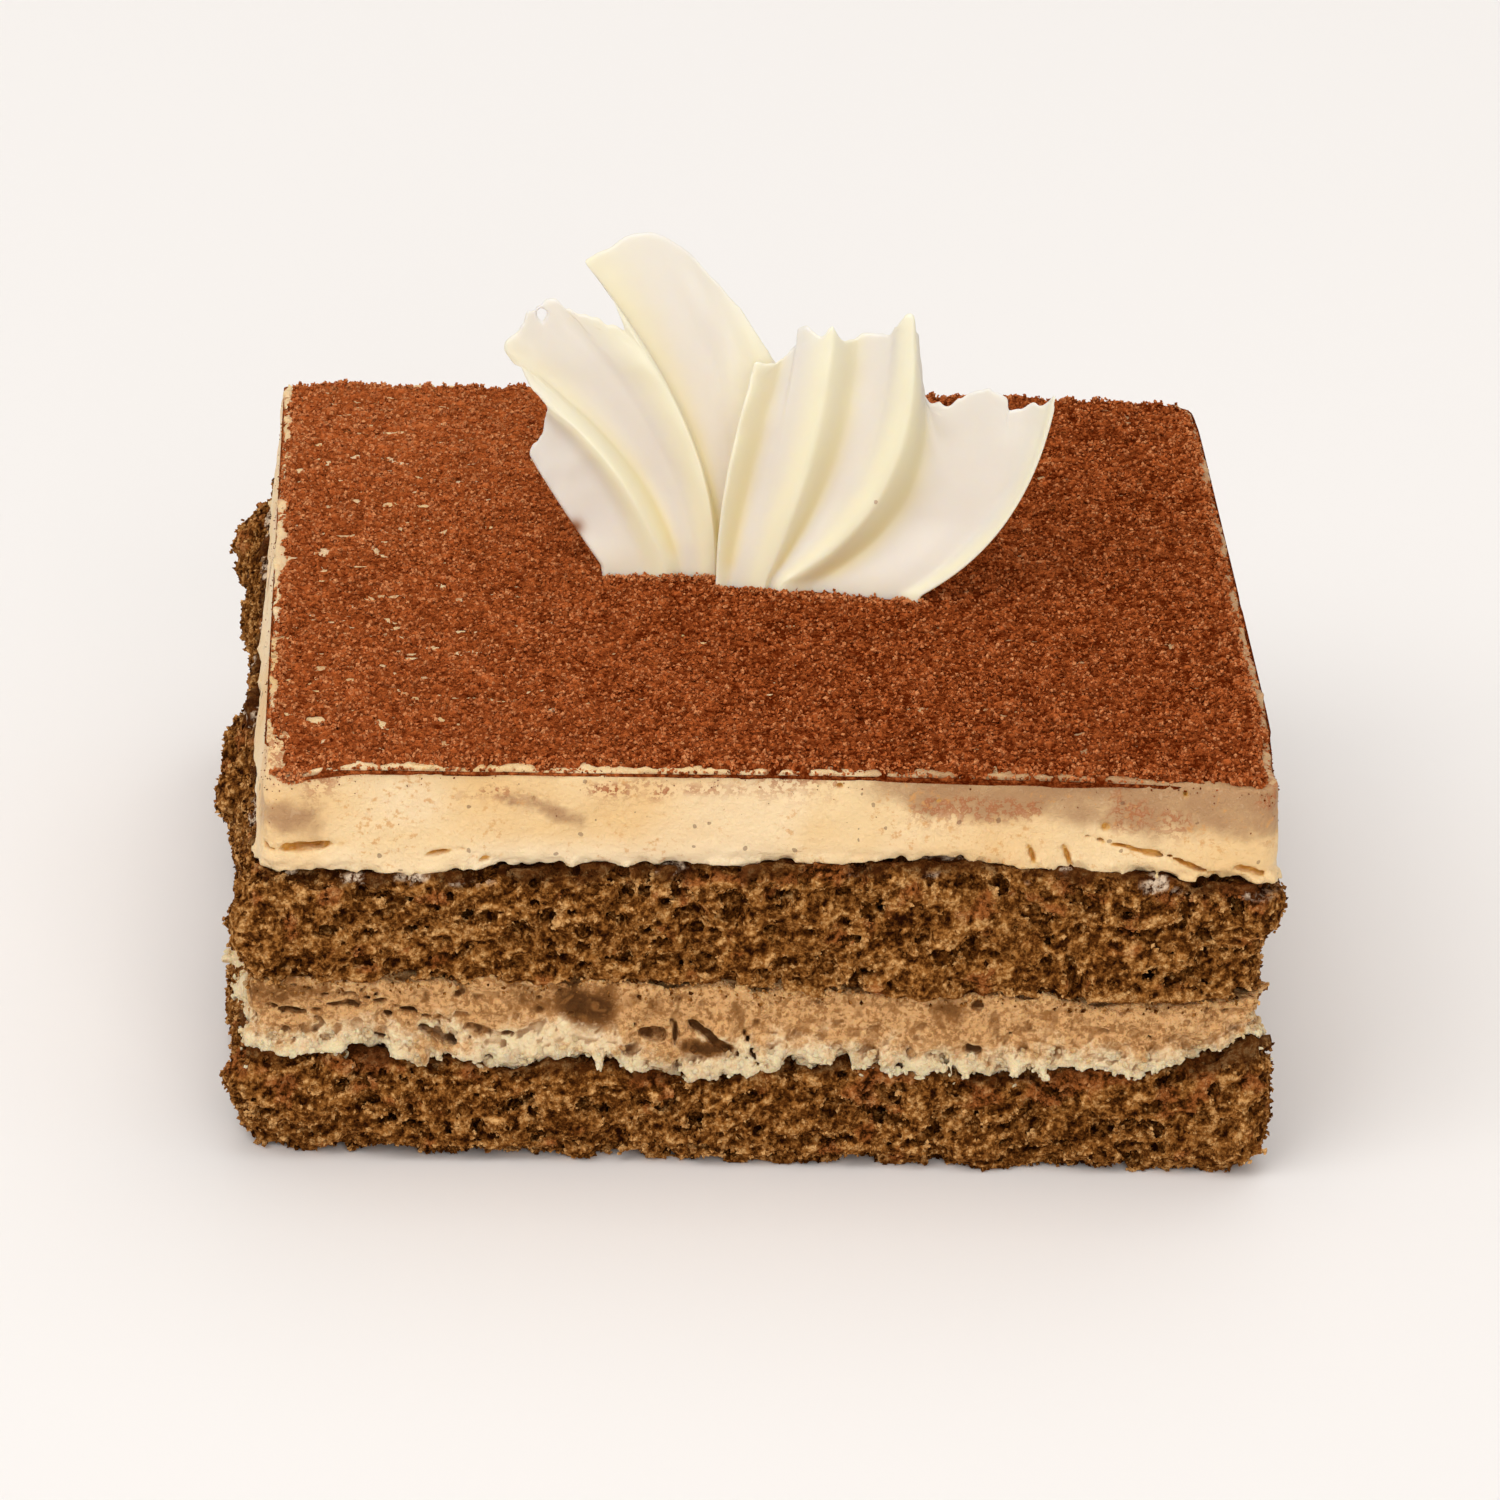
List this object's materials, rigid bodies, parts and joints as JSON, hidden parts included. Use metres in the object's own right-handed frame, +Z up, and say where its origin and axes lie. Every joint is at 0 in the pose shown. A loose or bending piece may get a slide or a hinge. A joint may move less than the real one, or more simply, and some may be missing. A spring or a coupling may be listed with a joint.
{
  "type": "tiramisu portion",
  "caption": "Square portion of layered tiramisu: coffee-soaked sponge and mascarpone cream under a dusting of cocoa, with fluted fans of white chocolate standing in its top.",
  "frame": {"origin": "centre of the flat underside of the portion", "axes": "+Z up, from the underside towards the cocoa; the front cut face looks along -Y and +X is to its right"},
  "size_m": [0.0902, 0.0886, 0.067],
  "materials": {
    "soaked_sponge": "open, crumbly sponge crumb, brown from coffee, matte",
    "coffee_cream": "grainy beige cream stained by coffee, matte to satin",
    "mascarpone_cream": "smooth pale yellow cream, soft satin",
    "cocoa": "granular cocoa powder, matte",
    "white_chocolate": "smooth ivory white chocolate, slightly translucent, soft gloss"
  },
  "bodies": {
    "root": {"sponge_lower": "soaked_sponge", "cream_lower": "coffee_cream", "sponge_upper": "soaked_sponge", "cream_upper": "mascarpone_cream", "cocoa_dusting": "cocoa", "chocolate_fan_left": "white_chocolate", "chocolate_fan_right": "white_chocolate"}
  },
  "joints": []
}
